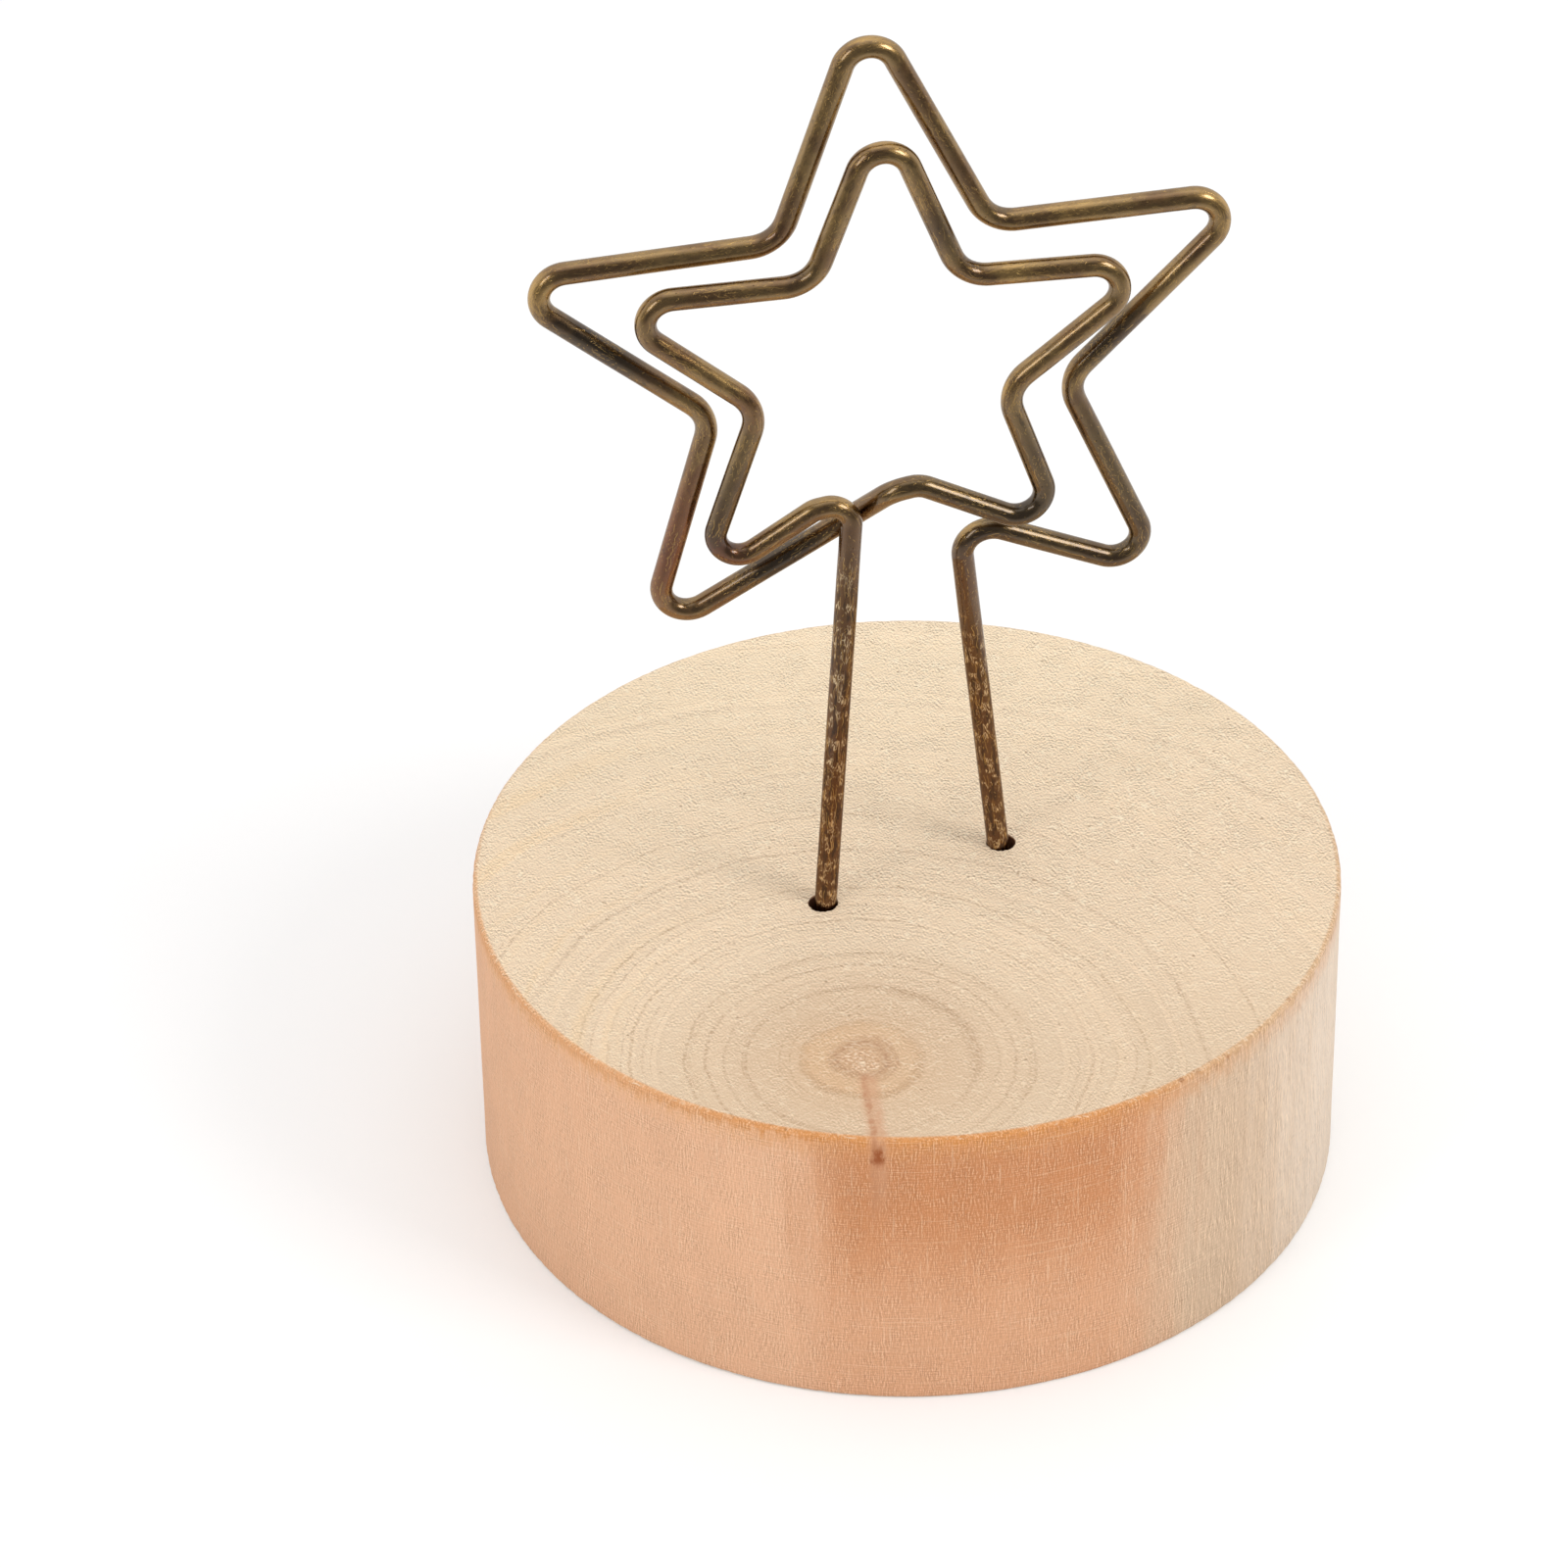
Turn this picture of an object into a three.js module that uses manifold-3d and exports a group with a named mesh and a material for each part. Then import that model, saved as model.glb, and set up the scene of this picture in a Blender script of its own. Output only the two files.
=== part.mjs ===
// A memo clip holder: a round end-grain wooden block that carries one bent bronze wire.
// The wire rises from a drilled hole, runs round a small star, then round a larger star
// behind it, and goes down into a second hole. A card is held between the two stars.
//
// Millimetres and degrees, +Z up. The origin is the centre of the block's underside, and
// the stars face -Y.

import * as THREE from 'three';
import { mergeVertices } from 'three/addons/utils/BufferGeometryUtils.js';
import Module from 'manifold-3d';

const wasm = await Module();
wasm.setup();

// The wooden block
const blockDiameter = 40;
const blockHeight = 15;
const rimRound = 0.25; // what sanding takes off both rims
const blockSides = 96;
const rimSteps = 2;

// The wire, and the two holes that its legs stand in
const wireDiameter = 1.02;
const holePlay = 0.38; // a hole is this much wider than the wire
const holeSpacing = 9.33;
const holeTurn = 21; // the line through the holes is turned this far from the stars' plane
const holeFloor = 5; // wood left under each hole
const drillTip = 0.4; // height of the cone that the drill leaves
const drillOverrun = 1;
const footClearance = 0.3; // from a leg's end to the floor of its hole
const leanShare = 0.4; // how far the legs spring inwards, as a share of the room in a hole
const leanDepth = 0.35; // below the block's top, the legs stand upright
const holeSides = 24;

// Where the clip stands: the point midway between the holes, from the block's axis
const clipX = 0.2;
const clipY = -0.55;

// The two stars
const starLift = 27.8; // from the block's top to the stars' centre
const starShift = -0.9; // the stars' centre is this far to the side of the clip's middle
const smallReach = 13; // from the centre to the small star's tips, before they are rounded
const largeReach = 17.7;
const cardGap = 0.2; // between the wires of the two stars

// Bend radii, at the middle of the wire
const tipBend = 1.22;
const notchBend = 1.83;
const lowTipBend = 1.95; // the small star's lower left tip is rounder than the others
const crownBend = 1.5;
const leftShoulderBend = 0.95;
const rightShoulderBend = 1.3;
const crossingBend = 2;
const footBend = 6;
const rightLegJoin = 2.6; // from the right shoulder's corner down to where the leg starts

// Fineness of the wire
const wireSides = 16;
const bendStep = 12; // degrees of a bend that one step takes

// Corners of the small star, tip and notch in turn, from the lower left tip clockwise to the
// lower right one: degrees from straight up, and the distance as a share of smallReach.
const smallStarShares = [
  [-140, 1.055],
  [-103, 0.46],
  [-70.5, 1.035],
  [-36, 0.45],
  [-1.5, 1.02],
  [34, 0.42],
  [69.5, 0.995],
  [106.5, 0.4],
  [140.5, 0.925],
];

// The same for the large star, as shares of largeReach
const largeStarShares = [
  [-141.5, 1],
  [-106.5, 0.46],
  [-72.5, 1.01],
  [-37.5, 0.44],
  [-3, 0.99],
  [35, 0.44],
  [67, 1],
  [104.5, 0.46],
  [135.5, 1],
];

// The crown is the straight line, in the front plane, that both inner arches of the wire
// touch: the left shoulder at its left end and the bottom notch at its right end. The small
// star swings about it when a card is pushed in.
const crownLeftShares = [-156, 0.575]; // degrees, and a share of smallReach
const crownRightShares = [172.5, 0.475];
const legCornerShare = 0.33; // places of the corners along the crown, as shares of it
const armCornerShare = -0.12;
const backCornerShare = 0.78;
const frontCornerShare = 1.11;
const crossingShares = [-169.5, 0.465]; // where the wire reaches the back, share of largeReach
const shoulderShares = [160.5, 0.525]; // the right shoulder's corner, share of largeReach

const degrees = THREE.MathUtils.degToRad;
const blockRadius = blockDiameter / 2;
const holeDepth = blockHeight - holeFloor;
const holeRadius = (wireDiameter + holePlay) / 2;
const legLean = (holePlay / 2) * leanShare;
const planeStep = (wireDiameter + cardGap) / 2;
const sameStation = wireDiameter / 1000; // a bend that starts where the wire does adds none there
const frontY = clipY - planeStep;
const backY = clipY + planeStep;

const wood = new THREE.MeshStandardMaterial({ color: 0xe4cda8, roughness: 0.78, metalness: 0 });
const bronze = new THREE.MeshStandardMaterial({ color: 0x5f4b30, roughness: 0.38, metalness: 1 });

// A point on the star, by its turn from straight up and its distance from the centre
function starPoint([turn, share], reach, y) {
  const x = clipX + starShift + reach * share * Math.sin(degrees(turn));
  const z = blockHeight + starLift + reach * share * Math.cos(degrees(turn));
  return new THREE.Vector3(x, y, z);
}

// The axis of a hole, or of the leg in it: side is -1 for the left one and 1 for the right
function holePoint(side, z, inwards = 0) {
  const out = side * (holeSpacing / 2 - inwards);
  const x = clipX + out * Math.cos(degrees(holeTurn));
  const y = clipY + out * Math.sin(degrees(holeTurn));
  return new THREE.Vector3(x, y, z);
}

// The stations of a wire that runs through corners of the form [point, bend radius]. Its
// first and last corners are its ends. A bend is as large as the runs beside it allow: it
// may take half of a run that ends in another bend, and all of one that ends the wire.
function stationsOf(corners) {
  const points = corners.map(([point]) => point);
  const last = points.length - 1;
  const heading = (i) => points[i + 1].clone().sub(points[i]).normalize();
  const room = (i, end) => points[i].distanceTo(points[end]) / (end === 0 || end === last ? 1 : 2);
  const stations = [{ point: points[0], tangent: heading(0) }];
  for (let i = 1; i < last; i++) {
    const before = heading(i - 1);
    const after = heading(i);
    const turn = before.angleTo(after);
    const wanted = corners[i][1] * Math.tan(turn / 2);
    const cut = Math.min(wanted, room(i, i - 1), room(i, i + 1));
    const radius = cut / Math.tan(turn / 2);
    const start = points[i].clone().addScaledVector(before, -cut);
    const axis = before.clone().cross(after).normalize();
    const inward = axis.clone().cross(before);
    const centre = start.clone().addScaledVector(inward, radius);
    const steps = Math.max(1, Math.ceil(turn / degrees(bendStep)));
    for (let step = 0; step <= steps; step++) {
      const angle = (turn * step) / steps;
      const spoke = start.clone().sub(centre).applyAxisAngle(axis, angle);
      const tangent = before.clone().applyAxisAngle(axis, angle);
      stations.push({ point: centre.clone().add(spoke), tangent });
    }
  }
  stations.push({ point: points[last], tangent: heading(last - 1) });
  const isNew = ({ point }, i) => i === 0 || point.distanceTo(stations[i - 1].point) > sameStation;
  return stations.filter(isNew);
}

// A path whose steps are the stations themselves, so that the straight runs have none
class WirePath extends THREE.Curve {
  constructor(stations) {
    super();
    this.stations = stations;
  }

  stationAt(t) {
    return this.stations[Math.round(t * (this.stations.length - 1))];
  }

  getUtoTmapping(u) {
    return u;
  }

  getPoint(t, target = new THREE.Vector3()) {
    return target.copy(this.stationAt(t).point);
  }

  getTangent(t, target = new THREE.Vector3()) {
    return target.copy(this.stationAt(t).tangent);
  }
}

// A round wire through the given corners
function bentWire(name, corners) {
  const section = new THREE.Shape();
  section.absarc(0, 0, wireDiameter / 2, 0, 2 * Math.PI);
  const outline = new THREE.Shape(section.getSpacedPoints(wireSides).slice(0, wireSides));
  const stations = stationsOf(corners);
  const options = { steps: stations.length - 1, extrudePath: new WirePath(stations) };
  const mesh = new THREE.Mesh(new THREE.ExtrudeGeometry(outline, options), bronze);
  mesh.name = name;
  return mesh;
}

// A lathe-turned shape on the Z axis, from the [radius, height] points of its outline
function turned(outline, sides) {
  const profile = outline.map(([radius, height]) => new THREE.Vector2(radius, height));
  return new THREE.LatheGeometry(profile, sides).rotateX(Math.PI / 2);
}

// A closed geometry as a solid for cuts
function solidOf(geometry) {
  const bareShape = geometry.clone().deleteAttribute('normal').deleteAttribute('uv');
  const merged = mergeVertices(bareShape);
  const vertProperties = merged.attributes.position.array;
  const triVerts = new Uint32Array(merged.index.array);
  return new wasm.Manifold(new wasm.Mesh({ numProp: 3, vertProperties, triVerts }));
}

function geometryOf(solid) {
  const { vertProperties, triVerts } = solid.getMesh();
  const geometry = new THREE.BufferGeometry();
  geometry.setAttribute('position', new THREE.BufferAttribute(vertProperties, 3));
  geometry.setIndex(new THREE.BufferAttribute(triVerts, 1));
  geometry.computeVertexNormals();
  return geometry;
}

// The block: a slice of a branch, turned round, with both rims rubbed smooth and two
// upright holes drilled from above
function woodenBlock() {
  const underRim = [];
  const topRim = [];
  for (let step = 0; step <= rimSteps; step++) {
    const angle = (Math.PI / 2) * (step / rimSteps);
    const out = blockRadius - rimRound * (1 - Math.sin(angle));
    const lift = rimRound * (1 - Math.cos(angle));
    underRim.push([out, lift]);
    topRim.unshift([out, blockHeight - lift]);
  }
  let block = solidOf(turned([[0, 0], ...underRim, ...topRim, [0, blockHeight]], blockSides));
  for (const side of [-1, 1]) {
    const axis = holePoint(side, blockHeight);
    const drill = [
      [0, -holeDepth - drillTip],
      [holeRadius, -holeDepth],
      [holeRadius, drillOverrun],
      [0, drillOverrun],
    ];
    block = block.subtract(solidOf(turned(drill, holeSides).translate(axis.x, axis.y, axis.z)));
  }
  const mesh = new THREE.Mesh(geometryOf(block), wood);
  mesh.name = 'wooden_block';
  return mesh;
}

// A leg's two lowest corners: its end in the hole, and the point where it starts to lean
function legFoot(side) {
  const end = holePoint(side, holeFloor + footClearance, legLean);
  const leanStart = holePoint(side, blockHeight - leanDepth, legLean);
  return [
    [end, 0],
    [leanStart, footBend],
  ];
}

const tipsAndNotches = (shares, reach, y) =>
  shares.map((place, i) => [starPoint(place, reach, y), i % 2 === 0 ? tipBend : notchBend]);

const [[smallLowTip], ...restOfSmallStar] = tipsAndNotches(smallStarShares, smallReach, frontY);

const crownLeft = starPoint(crownLeftShares, smallReach, frontY);
const crownRight = starPoint(crownRightShares, smallReach, frontY);
const onCrown = (share) => crownLeft.clone().lerp(crownRight, share);

const leftLegCorners = [
  ...legFoot(-1),
  [onCrown(legCornerShare), leftShoulderBend],
  [crownLeft, 0],
];

const smallStarCorners = [
  [crownLeft, 0],
  [onCrown(armCornerShare), leftShoulderBend],
  [smallLowTip, lowTipBend],
  ...restOfSmallStar,
  [onCrown(frontCornerShare), crownBend],
  [crownRight, 0],
];

const rightShoulder = starPoint(shoulderShares, largeReach, backY);
const [rightLegEnd, rightLeanStart] = legFoot(1);
const downRightLeg = rightLeanStart[0].clone().sub(rightShoulder).normalize();
const rightJoin = rightShoulder.clone().addScaledVector(downRightLeg, rightLegJoin);

const largeStarCorners = [
  [crownRight, 0],
  [onCrown(backCornerShare), crownBend],
  [starPoint(crossingShares, largeReach, backY), crossingBend],
  ...tipsAndNotches(largeStarShares, largeReach, backY),
  [rightShoulder, rightShoulderBend],
  [rightJoin, 0],
];

const rightLegCorners = [[rightJoin, 0], rightLeanStart, rightLegEnd];

const holder = new THREE.Group();
holder.add(
  woodenBlock(),
  bentWire('left_leg', leftLegCorners),
  bentWire('small_star', smallStarCorners),
  bentWire('large_star', largeStarCorners),
  bentWire('right_leg', rightLegCorners),
);

export default holder;
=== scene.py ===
# %% [markdown]
# # A memo clip holder, from a branch and a wire
#
# The real holder is two things. A slice of a branch, turned round and sanded, stands on the
# desk. A bronze wire stands in two holes in it and is bent into two stars, one in front of the
# other, and a card is pinched between them. This lesson dresses the measured model of it: first
# the camera, the light and the table, then the wood, then the wire.

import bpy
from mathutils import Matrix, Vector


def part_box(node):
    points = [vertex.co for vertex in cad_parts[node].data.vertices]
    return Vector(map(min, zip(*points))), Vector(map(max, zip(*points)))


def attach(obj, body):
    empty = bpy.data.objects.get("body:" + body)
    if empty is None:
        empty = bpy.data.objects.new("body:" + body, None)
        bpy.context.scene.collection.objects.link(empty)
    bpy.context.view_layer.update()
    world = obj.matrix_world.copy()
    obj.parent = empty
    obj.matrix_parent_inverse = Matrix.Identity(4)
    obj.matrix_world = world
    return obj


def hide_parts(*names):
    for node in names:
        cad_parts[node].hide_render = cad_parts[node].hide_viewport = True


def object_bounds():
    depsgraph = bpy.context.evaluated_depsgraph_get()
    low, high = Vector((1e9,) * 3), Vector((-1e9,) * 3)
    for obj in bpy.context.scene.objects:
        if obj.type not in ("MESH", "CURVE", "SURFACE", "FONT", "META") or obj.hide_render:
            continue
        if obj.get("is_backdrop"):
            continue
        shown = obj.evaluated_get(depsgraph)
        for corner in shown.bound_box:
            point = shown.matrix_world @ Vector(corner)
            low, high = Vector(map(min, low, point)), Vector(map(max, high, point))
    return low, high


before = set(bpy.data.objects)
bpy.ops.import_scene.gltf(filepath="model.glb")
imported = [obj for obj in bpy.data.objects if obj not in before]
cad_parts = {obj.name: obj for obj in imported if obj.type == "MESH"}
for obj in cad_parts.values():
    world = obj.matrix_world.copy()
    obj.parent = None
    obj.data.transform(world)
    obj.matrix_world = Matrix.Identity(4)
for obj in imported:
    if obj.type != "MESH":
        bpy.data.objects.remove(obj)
measured_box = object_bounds()

# %% [markdown]
# Everything below is written in millimetres, as a maker would say it, and is turned into
# metres where a mesh, a lamp or the camera is made. Colours are written as they are seen on a
# screen, from 0 to 255, and are turned into the linear values that shaders work with.

# %% Units and colours
import math

import bmesh
import bpy
from mathutils import Quaternion, Vector, noise

MM = 0.001


def mm(*values):
    return Vector(values) * MM


def paint(red, green, blue):
    def linear(level):
        level /= 255
        return level / 12.92 if level <= 0.04045 else ((level + 0.055) / 1.055) ** 2.4

    return (linear(red), linear(green), linear(blue), 1)


scene = bpy.context.scene
scene.view_settings.view_transform = "Standard"
print("a mid grey becomes", [round(level, 3) for level in paint(128, 128, 128)[:3]])

# %% [markdown]
# ## The camera
#
# The holder is seen from a little left of straight ahead and from well above, with a long lens
# from about 30 cm, so that the block's far rim looks nearly as wide as the near one. The camera
# hangs a degree out of level, which is why the block leans a hair to one side.

# %% The camera
CAMERA_PLACE = mm(-35.23, -241.19, 197.63)
CAMERA_AIM = mm(-5.25, 2.94, 18.12)
CAMERA_LEAN = math.radians(-1.04)
CAMERA_LENS = 151.66
CAMERA_SENSOR = 36
NEAREST_SEEN = 10

lens = bpy.data.cameras.new("camera")
lens.sensor_width = CAMERA_SENSOR
lens.lens = CAMERA_LENS
lens.clip_start = NEAREST_SEEN * MM
camera = bpy.data.objects.new("camera", lens)
scene.collection.objects.link(camera)
looking = (CAMERA_AIM - CAMERA_PLACE).to_track_quat("-Z", "Y")
camera.location = CAMERA_PLACE
camera.rotation_mode = "QUATERNION"
camera.rotation_quaternion = looking @ Quaternion((0, 0, 1), CAMERA_LEAN)
scene.camera = camera
print("camera to aim, mm:", round((CAMERA_AIM - CAMERA_PLACE).length / MM, 1))

# %% [markdown]
# ## Writing materials in code
#
# A material is a web of nodes. The helpers below keep it readable. Each adds to the web that is
# being written, joins whatever it is given, and gives back what comes out. Sums and soft steps
# turn places into masks from 0 to 1, and masks blend colours.

# %% The web that is being written
class Web:
    """Every helper adds its nodes to this web. Each new material or effect puts its own here."""

    tree = None


def add(kind, inputs=None, **settings):
    """Adds a node, and fills its inputs with numbers or with other nodes' outputs."""
    node = Web.tree.nodes.new(kind)
    for name, value in settings.items():
        setattr(node, name, value)
    for key, value in (inputs or {}).items():
        if isinstance(value, bpy.types.NodeSocket):
            Web.tree.links.new(value, node.inputs[key])
        else:
            node.inputs[key].default_value = value
    return node


def new_material(name):
    material = bpy.data.materials.new(name)
    material.use_nodes = True
    material.node_tree.nodes.clear()
    Web.tree = material.node_tree
    return material


print("a web can be written")


# %% Sums and masks
def calc(operation, first, second=0):
    return add("ShaderNodeMath", {0: first, 1: second}, operation=operation).outputs[0]


def plus(first, second):
    return calc("ADD", first, second)


def minus(first, second):
    return calc("SUBTRACT", first, second)


def larger(first, second):
    return calc("MAXIMUM", first, second)


def product(*values):
    """Several masks multiplied together."""
    result = values[0]
    for value in values[1:]:
        result = calc("MULTIPLY", result, value)
    return result


def step(value, low, high, start=0, end=1):
    """A soft step: start where value is under low, end where it is over high."""
    inputs = {"Value": value, "From Min": low, "From Max": high, "To Min": start, "To Max": end}
    return add("ShaderNodeMapRange", inputs, interpolation_type="SMOOTHSTEP").outputs["Result"]


def drop(value, low, high):
    """A soft step down: 1 where value is under low, 0 where it is over high."""
    return step(value, low, high, 1, 0)


def centred(value, reach):
    """Noise from 0 to 1, moved to swing evenly round 0."""
    return product(minus(value, 0.5), reach)


print("sums and masks are ready")

# %% Places and noise
class Parts:
    """The three numbers of a place, apart."""

    def __init__(self, x, y, z):
        self.x = x
        self.y = y
        self.z = z


def parts_of(place):
    return Parts(*add("ShaderNodeSeparateXYZ", {0: place}).outputs)


def joined(x, y, z=0):
    return add("ShaderNodeCombineXYZ", {0: x, 1: y, 2: z}).outputs[0]


def vector_calc(operation, first, second):
    return add("ShaderNodeVectorMath", {0: first, 1: second}, operation=operation).outputs[0]


def rotate(place, angle):
    inputs = {"Vector": place, "Angle": angle}
    return add("ShaderNodeVectorRotate", inputs, rotation_type="Z_AXIS").outputs[0]


def from_middle(place):
    """How far a place is from the point 0, 0, 0."""
    return add("ShaderNodeVectorMath", {0: place}, operation="LENGTH").outputs["Value"]


def cloud(place, scale, detail=2, roughness=0.5, dimensions="3D"):
    """Soft noise, from 0 to 1."""
    key = "W" if dimensions == "1D" else "Vector"
    inputs = {key: place, "Scale": scale, "Detail": detail, "Roughness": roughness}
    return add("ShaderNodeTexNoise", inputs, noise_dimensions=dimensions).outputs[0]


print("places and noise are ready")

# %% [markdown]
# Three effects come back many times, so each is a node group, built once. Scratches are noise
# that is pulled out along one direction until it turns into long thin lines; the sanded wood has
# them. Specks are the middles of scattered cells, kept only in a share of the cells, which gives
# pores in wood and pits or bright grains on metal. Fibres are one short curved line in each cell,
# which gives torn wood fibres and the nicks of handling.

# %% Shared effect: scratches
def new_effect(name, **numbers):
    """An empty effect, which will be given a place and these numbers and will give back a mask."""
    effect = bpy.data.node_groups.new(name, "ShaderNodeTree")
    effect.interface.new_socket("Place", in_out="INPUT", socket_type="NodeSocketVector")
    for label, value in numbers.items():
        socket = effect.interface.new_socket(label, in_out="INPUT", socket_type="NodeSocketFloat")
        socket.default_value = value
    effect.interface.new_socket("Mask", in_out="OUTPUT", socket_type="NodeSocketFloat")
    Web.tree = effect
    return add("NodeGroupInput").outputs


def give_back(mask):
    add("NodeGroupOutput", {"Mask": mask})
    return Web.tree


def use(effect, place, **numbers):
    """Puts an effect into the web, with its own numbers, and gives its mask."""
    inputs = {"Place": place, **numbers}
    return add("ShaderNodeGroup", inputs, node_tree=effect).outputs["Mask"]


def build_scratches():
    given = new_effect("scratches", Turn=0, Length=4, Width=0.1, Rarity=0.62)
    turned = rotate(given["Place"], given["Turn"])
    along = calc("DIVIDE", 1, given["Length"])
    across = calc("DIVIDE", 1, given["Width"])
    lines = cloud(vector_calc("MULTIPLY", turned, joined(along, across, across)), 1, 1)
    return give_back(step(lines, given["Rarity"], plus(given["Rarity"], 0.05)))


scratches = build_scratches()
print("scratches:", len(scratches.nodes), "nodes")


# %% Shared effect: specks
def scatter(place, spacing, dimensions="3D"):
    """Scattered cells, and three numbers by chance for each cell."""
    inputs = {"Vector": place, "Scale": calc("DIVIDE", 1, spacing)}
    cells = add("ShaderNodeTexVoronoi", inputs, voronoi_dimensions=dimensions).outputs
    return cells, add("ShaderNodeSeparateColor", {"Color": cells["Color"]}).outputs


def build_specks():
    given = new_effect("specks", Spacing=0.5, Size=0.1, Share=0.5)
    cells, chance = scatter(given["Place"], given["Spacing"])
    radius = calc("DIVIDE", product(given["Size"], 0.5), given["Spacing"])
    dots = drop(calc("DIVIDE", cells["Distance"], radius), 0.5, 1)
    kept = calc("LESS_THAN", chance[0], given["Share"])
    return give_back(product(dots, kept, step(chance[1], 0, 1, 0.4, 1)))


specks = build_specks()
print("specks:", len(specks.nodes), "nodes")


# %% Shared effect: fibres
def build_fibres():
    given = new_effect("fibres", Spacing=0.5, Length=0.4, Width=0.05, Turn=0, Spread=3.1, Share=0.6)
    cells, chance = scatter(given["Place"], given["Spacing"], "2D")
    away = vector_calc("SUBTRACT", given["Place"], cells["Position"])
    angle = plus(given["Turn"], centred(chance[1], given["Spread"]))
    local = parts_of(rotate(away, angle))
    along = calc("DIVIDE", product(local.x, 2), given["Length"])
    bow = product(along, along, given["Length"], minus(chance[2], 0.5), 0.5)
    across = calc("DIVIDE", product(plus(local.y, bow), 2), given["Width"])
    ends = drop(calc("ABSOLUTE", along), 0.55, 1)
    sides = drop(calc("ABSOLUTE", across), 0.3, 1)
    kept = calc("LESS_THAN", chance[0], given["Share"])
    return give_back(product(ends, sides, kept, step(chance[2], 0, 1, 0.5, 1)))


fibres = build_fibres()
print("fibres:", len(fibres.nodes), "nodes")

# %% [markdown]
# ## The table and the white surround
#
# The table and the surround are plain white. A white that is lit stays a little grey, and more
# light would bleach the wood, so the table adds a little of its own white to what the camera and
# the metal see, and still shows the holder's shadow. Away from the holder it melts into the
# white surround, so that no horizon shows.

# %% The table
TABLE_WIDTH = 3000
TABLE_WHITE = 0.8
TABLE_DARK_AT = -160
TABLE_LIGHT_AT = 40
FADE_START = 90
FADE_END = 420
ROOM_BEHIND_CAMERA = 0.2


def seen_directly():
    """1 for the rays that show white: from the camera, from gloss and through glass."""
    path = add("ShaderNodeLightPath").outputs
    either = larger(path["Is Camera Ray"], path["Is Glossy Ray"])
    return larger(either, path["Is Transmission Ray"])


def blend_value(share, first, second):
    """Two numbers, mixed by a mask."""
    return add("ShaderNodeMix", {0: share, 2: first, 3: second}, data_type="FLOAT").outputs[0]


def dimmed_for_gloss(depth, dark_at, light_at):
    """1 for most rays, but for gloss it falls off towards the room behind the camera."""
    glossy = add("ShaderNodeLightPath").outputs["Is Glossy Ray"]
    return blend_value(glossy, 1, step(depth, dark_at, light_at, ROOM_BEHIND_CAMERA, 1))


def table_material():
    material = new_material("white table")
    place = add("ShaderNodeTexCoord").outputs["Object"]
    shown = dimmed_for_gloss(parts_of(place).y, TABLE_DARK_AT * MM, TABLE_LIGHT_AT * MM)
    fade = step(from_middle(place), FADE_START * MM, FADE_END * MM)
    lit = add("ShaderNodeBsdfDiffuse", {"Color": product(shown, TABLE_WHITE)}).outputs[0]
    lift = product(seen_directly(), shown, 1 - TABLE_WHITE)
    glow = add("ShaderNodeEmission", {"Strength": lift}).outputs[0]
    near = add("ShaderNodeAddShader", {0: lit, 1: glow}).outputs[0]
    surround = add("ShaderNodeEmission", {"Strength": shown}).outputs[0]
    far = add("ShaderNodeMixShader", {0: seen_directly(), 1: lit, 2: surround}).outputs[0]
    mixed = add("ShaderNodeMixShader", {0: fade, 1: near, 2: far})
    add("ShaderNodeOutputMaterial", {"Surface": mixed.outputs[0]})
    return material


def build_table():
    half = TABLE_WIDTH / 2 * MM
    mesh = bpy.data.meshes.new("table")
    corners = [(-half, -half, 0), (half, -half, 0), (half, half, 0), (-half, half, 0)]
    mesh.from_pydata(corners, [], [(0, 1, 2, 3)])
    table = bpy.data.objects.new("table", mesh)
    table.data.materials.append(table_material())
    scene.collection.objects.link(table)
    table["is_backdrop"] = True


build_table()
print("table:", TABLE_WIDTH, "mm wide, fades from", FADE_START, "to", FADE_END, "mm")

# %% [markdown]
# ## Light
#
# Most of the light is even and comes from all round. Two soft lamps stand in front, one to each
# side: they lay faint crossed shadows at the feet of the wire and draw the bright lines on it.
# A larger soft lamp hangs above. The surround is white behind the holder and dims behind the
# camera, as a studio does, because bronze that mirrors nothing but white looks flat.

# %% Lamps and surround
ROOM_LIGHT = 0.815
ROOM_DARK_AT = -0.45
ROOM_LIGHT_AT = 0.15
LAMP_AIM = mm(0, 0, 25)
LAMP_DISTANCE = 500


def soft_lamp(name, turn, height, size, level, distance=LAMP_DISTANCE):
    """A lamp, turned and raised in degrees. Level is how bright it makes a white card at the aim."""
    turn, height = math.radians(turn), math.radians(height)
    flat = math.cos(height)
    way = Vector((math.sin(turn) * flat, -math.cos(turn) * flat, math.sin(height)))
    light = bpy.data.lights.new(name, "AREA")
    light.shape = "RECTANGLE"
    light.size = size[0] * MM
    light.size_y = size[1] * MM
    light.energy = level * (math.pi * distance * MM) ** 2
    lamp = bpy.data.objects.new(name, light)
    lamp.location = LAMP_AIM + way * distance * MM
    lamp.rotation_euler = way.to_track_quat("Z", "Y").to_euler()
    scene.collection.objects.link(lamp)


def build_surround():
    world = bpy.data.worlds.new("surround")
    world.use_nodes = True
    world.node_tree.nodes.clear()
    Web.tree = world.node_tree
    way = add("ShaderNodeTexCoord").outputs["Generated"]
    shown = dimmed_for_gloss(parts_of(way).y, ROOM_DARK_AT, ROOM_LIGHT_AT)
    strength = blend_value(seen_directly(), ROOM_LIGHT, shown)
    back = add("ShaderNodeBackground", {"Color": (1, 1, 1, 1), "Strength": strength})
    add("ShaderNodeOutputWorld", {"Surface": back.outputs[0]})
    scene.world = world


soft_lamp("left lamp", -53, 28, (110, 260), 0.13)
soft_lamp("right lamp", 53, 37, (170, 190), 0.27)
soft_lamp("top lamp", 0, 84, (500, 500), 0.1, distance=600)
build_surround()

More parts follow.
